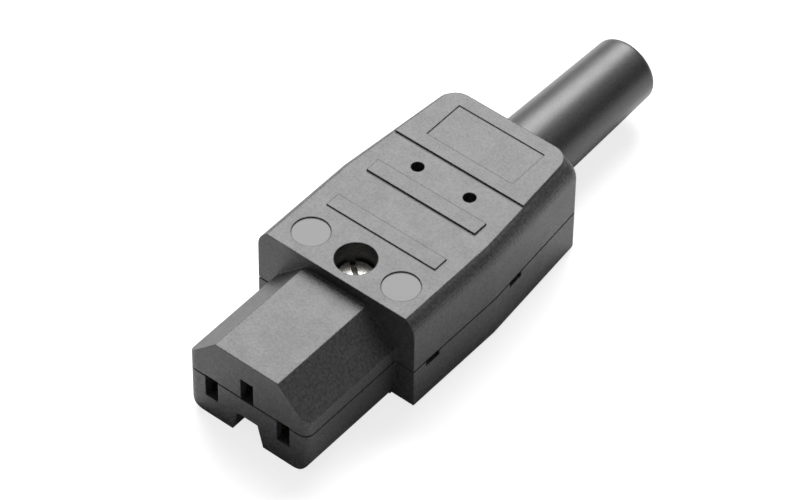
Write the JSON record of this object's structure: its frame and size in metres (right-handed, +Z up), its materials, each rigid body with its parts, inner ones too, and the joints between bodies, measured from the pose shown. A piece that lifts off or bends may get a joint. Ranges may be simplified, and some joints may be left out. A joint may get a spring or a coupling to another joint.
{
  "type": "c15 power connector",
  "caption": "Straight rewireable appliance connector with slots for flat pins, a keying notch, a two-part moulded housing, a recessed closing screw and a tapered cord sleeve.",
  "frame": {"origin": "under the middle of the connector, on the surface that it rests on (centre of the bounding box's underside)", "axes": "+Z up, from the notched side to the side with the closing screw; +Y from the engagement face to the cord end; +X across the slots, to the neutral slot"},
  "size_m": [0.0306, 0.0928, 0.019],
  "materials": {
    "housing_upper": "fine-grained moulded thermoplastic",
    "housing_lower": "fine-grained moulded thermoplastic",
    "sleeve": "smooth soft PVC with a satin sheen",
    "brass": "stamped and drilled brass",
    "nickel_plated": "bright nickel plate",
    "spring_steel": "bare spring steel",
    "fibre": "pressed fibre"
  },
  "bodies": {
    "root": {"upper_housing": "housing_upper", "lower_housing": "housing_lower", "closing_screw": "nickel_plated", "lock_washer": "spring_steel", "threaded_insert": "brass", "line_contact": "brass", "neutral_contact": "brass", "earth_contact": "brass", "line_spring": "spring_steel", "neutral_spring": "spring_steel", "earth_spring": "spring_steel", "line_terminal": "brass", "neutral_terminal": "brass", "earth_terminal": "brass", "line_terminal_screw": "nickel_plated", "neutral_terminal_screw": "nickel_plated", "earth_terminal_screw": "nickel_plated", "line_wire_guard": "nickel_plated", "neutral_wire_guard": "nickel_plated", "earth_wire_guard": "nickel_plated", "clamp_bar": "fibre", "left_clamp_screw": "nickel_plated", "right_clamp_screw": "nickel_plated", "strain_relief_sleeve": "sleeve"}
  },
  "joints": []
}
